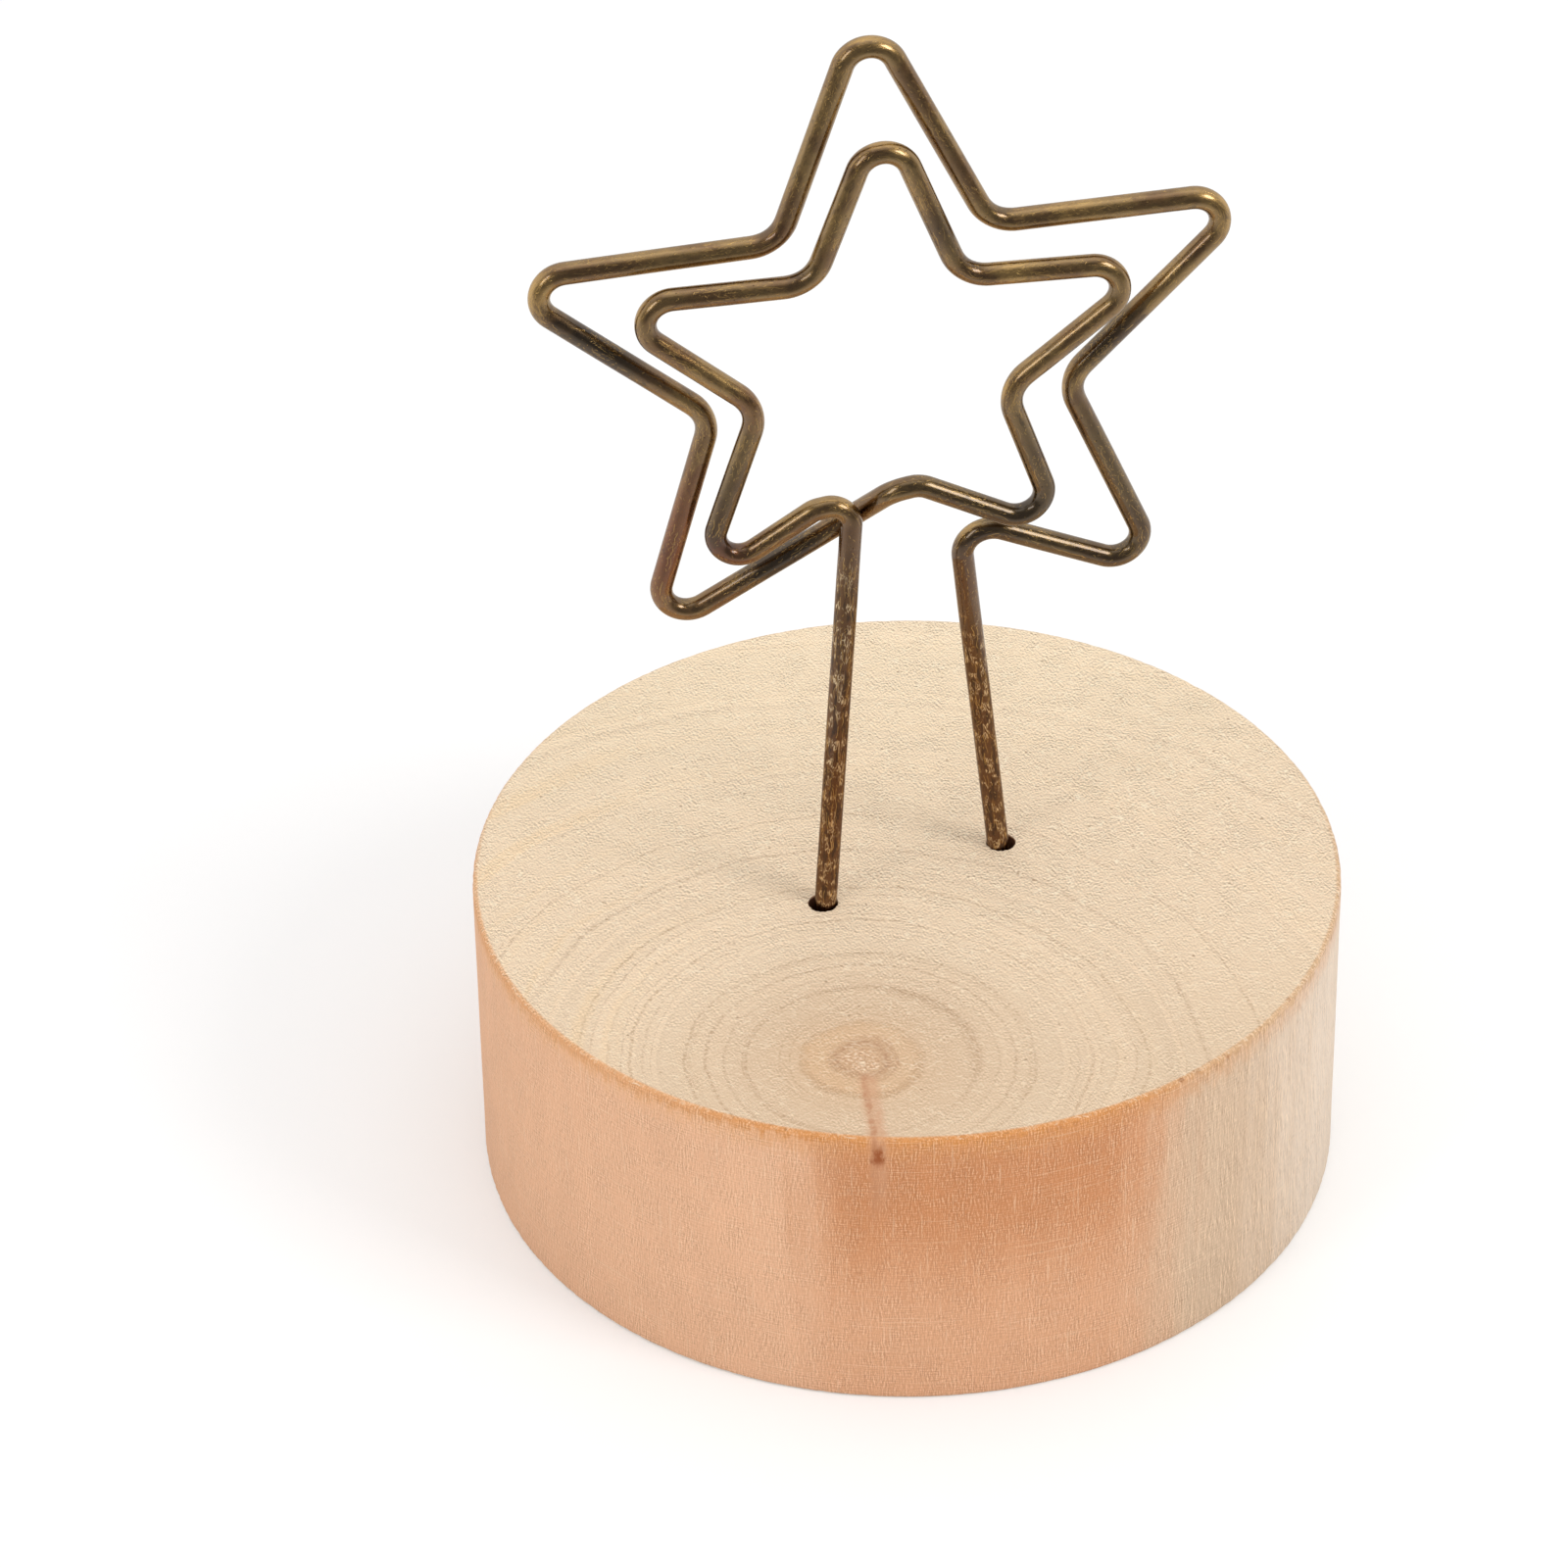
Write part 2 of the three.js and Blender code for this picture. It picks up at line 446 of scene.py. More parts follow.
# %% [markdown]
# ## The wooden block
#
# The block is a slice of a branch: the sawn faces show end grain, with growth rings round an
# off-centre pith, and the side shows upright fibres. Its shape is built ring by ring, like
# something turned on a lathe, rather than cut with booleans, so that the rim can be left ragged
# by the sandpaper and the lips of the two holes a little torn.

# %% Sizes of the block
block_low, block_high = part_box("wooden_block")
BLOCK_RADIUS = (block_high.x - block_low.x) / 2 / MM
BLOCK_HEIGHT = block_high.z / MM
BLOCK_SIDES = 720
RIM_ROUND = 0.25
RIM_RAG = 0.05
RIM_GRAIN = 0.5
WALL_RAG = 0.02
WALL_GRAIN = 3
WALL_HEIGHTS = (0.8, 2.5, 5, 7.5, 10, 12.5, 14.2)
SHARP_RIM = math.radians(50)
HOLE_RADIUS = 0.66
HOLE_FLOOR = 5
HOLE_TIP = 0.4
HOLE_SIDES = 56
HOLES_DIFFER = 7.3
LIP_TEAR = 0.09
LIP_GRAIN = 0.25
HOLE_MIDDLE = Vector((0.2, -0.55))
HOLE_SPACING = 9.4
HOLE_TURN = math.radians(21)
PITH = Vector((-4.05, -13.9))

# the rings of a hole: how much wider than the hole, how deep and how torn each is
HOLE_RINGS = (
    (0.05, 0, LIP_TEAR),
    (0.02, 0.07, LIP_TEAR / 2),
    (0, 0.22, WALL_RAG),
    (0, 2, WALL_RAG),
    (0, BLOCK_HEIGHT - HOLE_FLOOR, 0),
)
hole_reach = Vector((math.cos(HOLE_TURN), math.sin(HOLE_TURN))) * HOLE_SPACING / 2
holes = [HOLE_MIDDLE - hole_reach, HOLE_MIDDLE + hole_reach]
print("block:", 2 * BLOCK_RADIUS, "by", BLOCK_HEIGHT, "mm; holes at", [tuple(h) for h in holes])


# %% Rings of vertices
def roughness_at(x, y, z, grain):
    """Even noise from -1 to 1 whose lumps are about one grain wide."""
    return noise.noise(Vector((x, y, z)) / grain)


def ring_of(mesh, centre, radius, height, count, rag=0, grain=1):
    """A ring of vertices. Rag is how far each may stray from the round."""
    ring = []
    for i in range(count):
        turn = 2 * math.pi * i / count
        way = Vector((math.cos(turn), math.sin(turn)))
        level = height + HOLES_DIFFER * centre.x
        stray = rag * roughness_at(way.x * radius, way.y * radius, level, grain)
        spot = centre + way * (radius - abs(stray))
        ring.append(mesh.verts.new(mm(spot.x, spot.y, height)))
    return ring


def join_rings(mesh, lower, upper):
    for i in range(len(lower)):
        after = (i + 1) % len(lower)
        mesh.faces.new((lower[i], lower[after], upper[after], upper[i]))


def loop_edges(mesh, ring):
    return [mesh.edges.get((ring[i - 1], ring[i])) for i in range(len(ring))]


print("rings can be joined")


# %% The block's mesh
def block_rings(mesh):
    """The outside of the block, from the underside's edge up to the top's."""
    axis = Vector((0, 0))
    rounding = (0, 0.12, 0.38, 0.68, 1)
    levels = []
    for share in rounding:
        angle = math.pi / 2 * share
        inset = RIM_ROUND * (1 - math.sin(angle))
        levels.append((BLOCK_RADIUS - inset, RIM_ROUND * (1 - math.cos(angle))))
    upper = [(radius, BLOCK_HEIGHT - height) for radius, height in reversed(levels)]
    rings = [ring_of(mesh, axis, *level, BLOCK_SIDES, RIM_RAG, RIM_GRAIN) for level in levels]
    for height in WALL_HEIGHTS:
        rings.append(ring_of(mesh, axis, BLOCK_RADIUS, height, BLOCK_SIDES, WALL_RAG, WALL_GRAIN))
    rings += [ring_of(mesh, axis, *level, BLOCK_SIDES, RIM_RAG, RIM_GRAIN) for level in upper]
    return rings


def drill_hole(mesh, centre):
    """The wall of one hole, from its torn lip down, and its coned floor."""
    rings = []
    for wider, depth, tear in HOLE_RINGS:
        radius = HOLE_RADIUS + wider
        rings.append(ring_of(mesh, centre, radius, BLOCK_HEIGHT - depth, HOLE_SIDES, tear, LIP_GRAIN))
    for upper, lower in zip(rings, rings[1:]):
        join_rings(mesh, upper, lower)
    tip = mesh.verts.new(mm(centre.x, centre.y, HOLE_FLOOR - HOLE_TIP))
    last = rings[-1]
    for i in range(HOLE_SIDES):
        mesh.faces.new((last[i], last[(i + 1) % HOLE_SIDES], tip))
    return rings[0]


def make_piece(mesh, name, sharp):
    """Turns a mesh into an object, whose edges are sharp where they turn by more than an angle."""
    bmesh.ops.recalc_face_normals(mesh, faces=mesh.faces)
    data = bpy.data.meshes.new(name)
    mesh.to_mesh(data)
    mesh.free()
    data.set_sharp_from_angle(angle=sharp)
    piece = bpy.data.objects.new(name, data)
    scene.collection.objects.link(piece)
    return piece


def build_block():
    mesh = bmesh.new()
    rings = block_rings(mesh)
    for lower, upper in zip(rings, rings[1:]):
        join_rings(mesh, lower, upper)
    mesh.faces.new(list(reversed(rings[0])))
    lips = [drill_hole(mesh, centre) for centre in holes]
    rim = loop_edges(mesh, rings[-1])
    edges = rim + [edge for lip in lips for edge in loop_edges(mesh, lip)]
    bmesh.ops.triangle_fill(mesh, edges=edges, use_beauty=True)
    for face in mesh.faces:
        face.smooth = True
    return make_piece(mesh, "turned_block", SHARP_RIM)


block = build_block()
print("turned_block:", len(block.data.polygons), "faces")

# %% [markdown]
# The wood is painted in solid space: rings, tone and grain are functions of the place in the
# block, so the side and both faces belong to one piece of wood. Growth rings are the distance
# from the pith, warped a little and cut into years of uneven strength. The finest marks, torn
# fibres and sanding lines, lie on the surface instead, so they are drawn on the surface laid out
# flat: across the sawn faces, or round the side and up.

# %% Colours of the sawn faces
WOOD_TOP = paint(233, 208, 178)
WOOD_FRONT = paint(220, 194, 164)
WOOD_BACK = paint(244, 221, 189)
WOOD_HEART = paint(213, 184, 153)
WOOD_RING = paint(172, 134, 100)
WOOD_GOLD = paint(240, 206, 158)
print("the sawn wood, in linear values:", [round(level, 3) for level in WOOD_TOP[:3]])


# %% Laying colours over one another
def blend(share, first, second):
    """Two colours, mixed by a mask."""
    return add("ShaderNodeMix", {0: share, 6: first, 7: second}, data_type="RGBA").outputs[2]


def lay(colour, tone, *masks):
    """Lays a tone over the colour, where all of the masks are 1."""
    return blend(product(*masks), colour, tone)


def shade(colour, factor):
    """The colour made lighter or darker."""
    return add("ShaderNodeVectorMath", {0: colour, "Scale": factor}, operation="SCALE").outputs[0]


print("colours can be laid")


# %% Measuring places on the wood
def stretch(place, *factors):
    return vector_calc("MULTIPLY", place, factors)


def near_band(value, middle, width):
    """1 where value is within about width of middle, fading out softly."""
    off = calc("ABSOLUTE", minus(value, middle))
    return drop(calc("DIVIDE", off, width), 0.25, 1)


def distance_to(place, x, y):
    """Distance from an upright line through x, y."""
    away = vector_calc("SUBTRACT", place, (x, y, 0))
    return from_middle(stretch(away, 1, 1, 0))


def laid_flat(place, parts, on_face):
    """The surface laid out flat: over the sawn faces, or round the side and up, and over the rim."""
    turn = calc("ARCTAN2", parts.x, product(parts.y, -1))
    around = product(turn, BLOCK_RADIUS)
    x = blend_value(on_face, around, parts.x)
    y = blend_value(on_face, parts.z, parts.y)
    over = minus(parts.z, distance_to(place, 0, 0))
    return joined(x, y), joined(around, over)


print("places can be measured")

# %% [markdown]
# A tree adds a ring each year, which ends in a thin dark line. A picture of rings could be laid
# on the top, but the underside would need another. The distance from the pith, cut into years,
# serves both. Noise along that distance makes the years uneven, and the few that stand out in
# this piece are set at their own distances.

# %% Growth rings
YEARS_PER_MM = 1.25
CLEAR_YEARS = (5.15, 6.9, 7.8, 10.2, 12.6, 15.4, 18.2)


def wood_rings(place, radius):
    """A mask for the thin dark line that ends each year, and a number of its own for each year."""
    drift = cloud(product(radius, 0.4), 1, 2, dimensions="1D")
    years = product(radius, YEARS_PER_MM)
    years = plus(years, product(drift, 5))
    part = calc("FRACT", years)
    rise = step(part, 0.72, 0.93)
    fall = drop(part, 0.94, 1)
    year = calc("FLOOR", years)
    chance = add("ShaderNodeTexWhiteNoise", {"W": year}, noise_dimensions="1D").outputs["Value"]
    line = product(rise, fall, step(chance, 0, 1, 0.25, 1))
    for clear in CLEAR_YEARS:
        line = larger(line, near_band(radius, clear, 0.12))
    fade = step(cloud(place, 0.14, 1), 0.36, 0.6, 0.55, 1)
    dotted = step(cloud(place, 3.6, 3, 0.8), 0.42, 0.6, 0.2, 1)
    return product(line, fade, dotted), chance


print("rings: about", YEARS_PER_MM, "a millimetre")

# %% [markdown]
# The pith is the soft middle of the branch, which crumbles under the saw. It could be carved
# into the mesh, but that takes a very fine mesh for marks that show mostly as colour, so it is
# painted. Its ring and halo are bands of distance from its middle, frayed by noise.

# %% Pith
PITH_CORE = paint(206, 166, 130)
PITH_RING = paint(178, 132, 98)
PITH_HALO = paint(213, 173, 132)
# painted shade for the front edge of the pith
PITH_EDGE_SHADE = paint(186, 146, 110)
# pale crumbs and fibres, also used as painted highlight on the lit edges of raised fibres
WOOD_PALE_FLECK_AND_HIGHLIGHT = paint(255, 242, 216)


def paint_pith(colour, place, parts, crumbs):
    """The pith: a pale crumbly middle, a ragged brown ring, a golden halo, and painted shade along its
    front edge.
    """
    wander = cloud(stretch(place, 1, 1, 0.3), 0.8, 4, 0.65)
    even = distance_to(place, PITH.x, PITH.y)
    ragged = plus(even, centred(wander, 1.1))
    left = step(parts.x, PITH.x - 2, PITH.x + 2.6, 1, 0.62)
    low = step(parts.y, PITH.y - 2, PITH.y + 1, 1, 0.4)
    right = step(parts.x, PITH.x - 0.4, PITH.x + 0.9)

    glow = product(drop(ragged, 2.6, 4.8), 0.14)
    colour = lay(colour, PITH_HALO, glow)
    halo = product(drop(ragged, 2.4, 2.9), left, 0.62)
    colour = lay(colour, PITH_HALO, halo)
    # painted shade: a darker band along the pith's edge, strongest at the front
    edge = product(near_band(ragged, 2.6, 0.34), low, 0.45)
    colour = lay(colour, PITH_EDGE_SHADE, edge)

    rough = step(crumbs, 0.35, 0.62, 1, 0.45)
    soft = product(near_band(ragged, 1.12, 0.6), 0.42)
    ring = product(near_band(ragged, 1.1, 0.22), rough, 0.8)
    second = product(near_band(ragged, 1.6, 0.22), rough, right, 0.55)
    ring = larger(larger(ring, second), soft)
    colour = lay(colour, PITH_RING, ring)
    core = drop(ragged, 0.6, 0.95)
    colour = lay(colour, PITH_CORE, core, 0.85)
    pale = product(core, step(crumbs, 0.52, 0.62), 0.45)
    colour = lay(colour, WOOD_PALE_FLECK_AND_HIGHLIGHT, pale)
    torn = product(core, drop(crumbs, 0.38, 0.46), 0.55)
    return lay(colour, PITH_RING, torn)


print("pith at", tuple(PITH), "mm")

# %% [markdown]
# The knot is the trace of a small twig that grew from the pith towards the front. Drawn once on
# the top and once on the side, it would have to be made to meet at the rim. As a thin line in
# the same solid space, it runs on over the rim by itself, to its dark end on the side.

# %% Knot
KNOT = paint(206, 156, 122)
KNOT_LINE = paint(182, 120, 80)
KNOT_DARK = paint(152, 78, 36)
KNOT_SLOPE = 0.032
KNOT_START = -3.71
KNOT_END = 14.1


def paint_knot(colour, parts, wobble, coarse, crumbs):
    """The trace of a small twig, from the pith out to the front, and its dark end on the side."""
    line = plus(product(parts.y, KNOT_SLOPE), KNOT_START)
    off = plus(minus(parts.x, line), wobble)
    out = drop(parts.y, -15.6, -14.6)
    down = step(parts.z, 9, 14.4)
    uneven = step(coarse, 0.35, 0.6, 0.8, 0.5)
    soft = product(near_band(off, 0.2, 0.62), out, down, uneven)
    colour = lay(colour, KNOT, soft)
    faint = step(coarse, 0.35, 0.65, 0.6, 0.1)
    thin = product(near_band(off, 0.04, 0.22), out, down, faint)
    colour = lay(colour, KNOT_LINE, thin)

    at_side = drop(parts.y, -19.6, -19.3)
    crumbly = centred(crumbs, 0.7)
    across = plus(off, crumbly)
    height = plus(parts.z, crumbly)
    spot = product(near_band(across, 0.17, 0.44), at_side, near_band(height, KNOT_END, 0.85))
    colour = lay(colour, KNOT_LINE, spot, 0.9)
    dark = product(near_band(across, 0.16, 0.3), at_side, near_band(height, KNOT_END - 0.1, 0.6))
    return lay(colour, KNOT_DARK, dark, 0.9)


print("the knot ends", KNOT_END, "mm up")


# %% [markdown]
# The sawn faces are palest at the back and brownest round the pith. Rings on one flat colour
# would look printed, so broad tones, soft golden bands and a small change from year to year come
# first, and the ring lines and the pith are laid over them.

# %% Tones of the sawn faces
def paint_sawn(place, parts, crumbs):
    """The sawn face before its fine marks: tone, rings, pith."""
    warp = centred(cloud(stretch(place, 1, 1, 0.25), 0.1, 2), 2.4)
    flutter = centred(cloud(stretch(place, 1, 1, 0.25), 0.7, 2), 0.3)
    radius = distance_to(place, PITH.x, PITH.y)
    wild = product(warp, step(radius, 3, 14, 0.1, 1))
    radius = plus(plus(radius, wild), flutter)
    line, chance = wood_rings(place, radius)
    top = blend(step(parts.y, -18, -4), WOOD_FRONT, WOOD_TOP)
    top = lay(top, WOOD_BACK, step(parts.y, -2, 18))
    bands = step(cloud(product(radius, 0.6), 1, 2, dimensions="1D"), 0.48, 0.7)
    left = step(parts.x, -19, -8, 0.34, 0.06)
    top = lay(top, WOOD_GOLD, bands, left)
    top = lay(top, WOOD_HEART, drop(radius, 3, 9.5))
    top = shade(top, step(chance, 0, 1, 0.975, 1.02))
    seen = product(step(parts.y, -2, 16, 1, 0.7), step(parts.x, -8, 10, 0.58, 0.48))
    top = lay(top, WOOD_RING, line, seen)
    upper_right = product(step(parts.x, PITH.x, PITH.x + 3.5), step(parts.y, PITH.y - 3, PITH.y))
    brown = product(near_band(radius, 5.1, 0.5), upper_right, step(crumbs, 0.4, 0.6, 0.85, 0.25))
    top = lay(top, WOOD_RING, brown, 0.42)
    return paint_pith(top, place, parts, crumbs)


print("the sawn faces can be painted")

# %% [markdown]
# The side shows the fibres from beside, and changes tone round the block. The salmon at the left
# and back is partly the wood's own warmth and partly painted warm reflected light, and the deep
# orange in front is partly painted warm reflected light and painted shade. A plain gradient would
# look sprayed on, so each tone is a soft mask over the place, pulled about by upright streaks,
# and no border looks ruled.

# %% Tones of the side
# salmon and deep orange: partly the wood's colour, partly painted warm reflected light; the deep
# orange also holds painted shade
SIDE_SALMON_AND_WARM_BOUNCE = paint(233, 182, 145)
SIDE_DEEP_ORANGE_AND_SHADE = paint(204, 138, 92)
SIDE_TAN = paint(212, 183, 154)
SIDE_CREAM = paint(230, 211, 191)


def paint_side(place, parts):
    """The side before its fine marks: salmon at the left, deep orange in front, cream at the right.
    The salmon and the orange are partly painted warm reflected light, and the orange is partly painted
    shade.
    """
    streaks = centred(cloud(stretch(place, 1, 1, 0.1), 0.9, 4, 0.6), 4.5)
    across = plus(parts.x, streaks)
    side = blend(step(across, 12, 18.5), SIDE_TAN, SIDE_CREAM)
    left = drop(across, -9, -4.6)
    upper = step(plus(parts.z, streaks), 3, 11.5, 0.35, 1)
    # painted warm reflected light and painted shade on the front of the side, over the wood's own
    # orange
    deep = product(drop(across, 5.5, 11.5), drop(parts.y, -10, 0))
    side = lay(side, SIDE_SALMON_AND_WARM_BOUNCE, deep)
    side = lay(side, SIDE_DEEP_ORANGE_AND_SHADE, deep, upper)
    behind = product(step(parts.y, -10, 0), drop(across, 4, 15))
    side = lay(side, SIDE_SALMON_AND_WARM_BOUNCE, larger(left, behind))
    mottle = cloud(stretch(place, 1, 1, 0.3), 0.9, 3)
    lower = step(parts.z, 0, 9, 0.93, 1)
    return shade(side, product(plus(centred(mottle, 0.16), 1), lower))


print("the side can be painted")

# %% [markdown]
# Sanding tears the fibres, and a low light gives each a pale and a dark edge. Noise, less the same
# noise a hair further on, shows just that, and a faint bump made of the same values catches the
# lamps. Pores, hairs and sanding lines are the shared effects. Grain on the sawn faces is drawn a
# little longer from front to back.

# %% Torn fibres
def raised(place, wide, high, shift, detail):
    """Fibres as a low light shows them: soft noise, less the same noise a hair further on."""
    spot = stretch(place, 1 / wide, 1 / high, 1)
    beyond = vector_calc("ADD", spot, (*shift, 0))
    here = cloud(spot, 1, detail, 0.7, "2D")
    return minus(here, cloud(beyond, 1, detail, 0.7, "2D"))


def curls(flat, scale, width):
    """Short curly threads: where soft noise crosses its middle, broken up by other noise."""
    thread = near_band(cloud(flat, scale, 1, dimensions="2D"), 0.5, width)
    gaps = step(cloud(flat, scale * 1.3, 0, dimensions="2D"), 0.42, 0.56)
    return product(thread, gaps)


SANDING_TURN = 0.61
GRAIN_LOOK = 0.62


def torn_shares(flat, parts, on_face):
    """How torn the surface is, and how torn the side alone is."""
    patchy = step(cloud(flat, 0.8, 3, 0.6, "2D"), 0.36, 0.64, 0.65, 1.25)
    towards_back = step(parts.y, -17, 3, 0.4, 1)
    towards_right = step(parts.x, -20, 8, 0.8, 1.1)
    side_torn = step(parts.x, 2, 17, 0.6, 1)
    torn = blend_value(on_face, side_torn, product(towards_back, towards_right))
    return product(torn, patchy), side_torn


def grain_of(flat, parts, on_face):
    """The fibres: swept by the sandpaper on the sawn faces, and like linen round the side."""
    swept = rotate(stretch(flat, 1, GRAIN_LOOK, 1), -SANDING_TURN)
    sawn_fibres = raised(swept, 0.105, 0.09, (0.36, 0.24), 3)
    level = product(raised(flat, 0.6, 0.09, (0, 0.5), 2), 0.6)
    linen = plus(raised(flat, 0.09, 0.45, (0.5, 0), 2), level)
    at_right = step(parts.x, 5, 13)
    ridges = raised(flat, 0.26, 1.3, (0.4, 0.1), 2)
    linen = blend_value(product(at_right, 0.4), linen, ridges)
    return blend_value(on_face, linen, sawn_fibres)


print("fibres are swept", round(math.degrees(SANDING_TURN)), "degrees")

# %% [markdown]
# The fine marks are laid one over another: the fibres lighten and darken the wood under them,
# which is painted light and shade on their raised edges, then come pale and dark flecks, partly
# the wood's own and partly painted highlight and shade, hairs and sanding lines, and the pores
# last. The relief could have noise of its own, but it is worked out from the same fibres, flecks
# and pores, so that what looks raised also catches the light.

# %% Fine marks: fibres, pores, hairs and sanding lines
# the flecks are partly the wood's own and partly painted highlight and shade on raised fibres
WOOD_DARK_FLECK_AND_SHADE = paint(182, 138, 98)
WOOD_PORE = paint(146, 108, 74)
SIDE_PALE_FLECK_AND_HIGHLIGHT = paint(252, 222, 188)
SIDE_DARK_FLECK_AND_SHADE = paint(176, 124, 88)


def paint_marks(colour, flat, parts, on_face):
    """The fine marks, lighter and darker than the wood under them, and how high each stands."""
    torn, side_torn = torn_shares(flat, parts, on_face)
    fine = grain_of(flat, parts, on_face)
    # painted light and shade: each torn fibre is lighter on one edge and darker on the other
    colour = shade(colour, plus(product(fine, torn, blend_value(on_face, 0.8, 1.9)), 1))

    curly = product(curls(flat, 2.6, 0.05), on_face, 0.8)
    pale = larger(step(fine, 0.06, 0.2), curly)
    dark = drop(fine, -0.22, -0.07)
    pores = use(specks, flat, Spacing=0.62, Size=0.19, Share=product(torn, 0.4))
    share = product(on_face, 0.3)
    hairs = use(fibres, flat, Spacing=0.42, Length=0.7, Width=0.06, Turn=0.45, Spread=1.2, Share=share)
    turn = product(on_face, -SANDING_TURN)
    reach = blend_value(on_face, 7, 3.5)
    sanded = use(scratches, flat, Turn=turn, Length=reach, Width=0.06, Rarity=0.67)
    combed = use(scratches, flat, Turn=math.pi / 2, Length=3, Width=0.14, Rarity=0.66)
    combed = product(combed, side_torn, step(on_face, 0, 1, 0.35, 0))

    pale_colour = blend(on_face, SIDE_PALE_FLECK_AND_HIGHLIGHT, WOOD_PALE_FLECK_AND_HIGHLIGHT)
    dark_colour = blend(on_face, SIDE_DARK_FLECK_AND_SHADE, WOOD_DARK_FLECK_AND_SHADE)
    # pale and dark flecks: partly the wood's own, partly painted highlight and shade on the fibres'
    # edges
    colour = lay(colour, pale_colour, pale, torn, blend_value(on_face, 0.5, 0.62))
    colour = lay(colour, dark_colour, dark, torn, blend_value(on_face, 0.25, 0.36))
    lines = larger(larger(product(hairs, 0.45), product(sanded, 0.3)), combed)
    colour = lay(colour, pale_colour, lines)
    colour = lay(colour, WOOD_PORE, pores, blend_value(on_face, 0.25, 0.62))

    relief = plus(product(fine, 1.2), product(pale, 0.4))
    relief = minus(relief, product(larger(pores, dark), 0.6))
    return colour, product(relief, torn)


print("fine marks are ready")

# %% [markdown]
# The sandpaper rubbed the rim brown. The rim's faces could have a material of their own, but it
# would end in a ruled line. Here the brown is a band of height near the block's edge, frayed by
# noise, and it fades towards the back and the right.

# %% The rubbed rim
RIM_GOLD = paint(236, 181, 134)
RIM_BROWN = paint(214, 149, 93)
RIM_EDGE = paint(212, 143, 80)
RIM_TAN = paint(200, 160, 116)
RIM_PIT = paint(158, 104, 62)


def paint_rim(colour, place, parts, over_rim):
    """Gold down the side, deep orange on the very edge, and pits."""
    ragged = cloud(stretch(over_rim, 1, 0.5, 1), 2.2, 4, 0.7, "2D")
    outer = step(distance_to(place, 0, 0), BLOCK_RADIUS - 0.3, BLOCK_RADIUS - 0.14)
    front = product(step(parts.y, -4, 10, 1, 0.15), outer)
    to_right = step(parts.x, 5, 14)
    height = plus(parts.z, centred(ragged, 1.8))
    gold = product(step(height, BLOCK_HEIGHT - 1.7, BLOCK_HEIGHT - 0.2), front)
    gold = product(gold, blend_value(to_right, 0.68, 0.34))
    colour = lay(colour, blend(step(parts.x, -13, -5), RIM_GOLD, RIM_BROWN), gold)
    low = plus(parts.z, centred(ragged, 1.5))
    below = step(parts.x, -15, -7, 0.85, 0.46)
    start = minus(BLOCK_HEIGHT, below)
    most = product(step(parts.x, -16, -8, 0.48, 0.84), blend_value(to_right, 1, 0.6))
    edge = product(step(low, start, BLOCK_HEIGHT - 0.12), front, most)
    colour = lay(colour, blend(to_right, RIM_EDGE, RIM_TAN), edge)
    pits = use(specks, over_rim, Spacing=0.55, Size=0.42, Share=0.6)
    pitted = product(pits, step(low, BLOCK_HEIGHT - 0.6, BLOCK_HEIGHT - 0.3), front)
    pitted = product(pitted, step(parts.x, 1, 9, 0.1, 0.75))
    return lay(colour, RIM_PIT, pitted)


print("the rim is", BLOCK_HEIGHT, "mm up")


# %% [markdown]
# The sawn faces and the side could be two materials, but they would meet in a hard line along the
# rim. One material paints both. The way that the surface faces, frayed by noise, decides which
# shows, and the walls of the two holes are darkened last.

# %% The wood material, put together
BURNT = paint(110, 70, 46)
WOOD_RELIEF = 0.012


def cover(relief, depth, inputs):
    """The surface of a material: what is given, with a relief of this depth in millimetres."""
    bump = add("ShaderNodeBump", {"Strength": 1, "Distance": depth * MM, "Height": relief})
    surface = add("ShaderNodeBsdfPrincipled", {**inputs, "Normal": bump.outputs[0]})
    add("ShaderNodeOutputMaterial", {"Surface": surface.outputs[0]})


def wood_material():
    material = new_material("end grain wood")
    coordinates = add("ShaderNodeTexCoord").outputs
    place = stretch(coordinates["Object"], 1 / MM, 1 / MM, 1 / MM)
    parts = parts_of(place)
    crumbs = cloud(stretch(place, 1, 1, 0.4), 5.5, 3, 0.68)
    coarse = cloud(place, 1.6, 3, 0.6)
    upright = calc("ABSOLUTE", parts_of(coordinates["Normal"]).z)
    facing = plus(upright, centred(crumbs, 0.9))
    sawn = step(facing, 0.55, 0.7)
    on_face = calc("GREATER_THAN", facing, 0.6)
    flat, over_rim = laid_flat(place, parts, on_face)

    colour = blend(sawn, paint_side(place, parts), paint_sawn(place, parts, crumbs))
    colour = paint_rim(colour, place, parts, over_rim)
    colour, relief = paint_marks(colour, flat, parts, on_face)
    colour = paint_knot(colour, parts, centred(crumbs, 0.25), coarse, crumbs)
    for hole in holes:
        near = drop(distance_to(place, hole.x, hole.y), HOLE_RADIUS + 0.02, HOLE_RADIUS + 0.12)
        inside = drop(parts.z, BLOCK_HEIGHT - 0.12, BLOCK_HEIGHT - 0.02)
        colour = lay(colour, BURNT, near, inside)

    rough = step(crumbs, 0.35, 0.65, 0.9, 0.72)
    inputs = {"Base Color": colour, "Roughness": rough, "Specular IOR Level": 0.3}
    cover(relief, WOOD_RELIEF, inputs)
    return material


block.data.materials.append(wood_material())
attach(block, "block")
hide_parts("wooden_block")
print("the block is finished")

# %% [markdown]
# ## The wire
#
# The clip is one wire, about a millimetre thick. Its route is a list of corners, tip and notch in
# turn, and each corner is rounded by the pin that it was bent round. The corners are given the
# way they would be marked on a bending jig: a turn from straight up and a share of the star's
# reach. Sweeping a fine section along the route, with many more steps than the measured model
# has, gives smooth bends, and lets the section flatten a little where the pins pressed it.

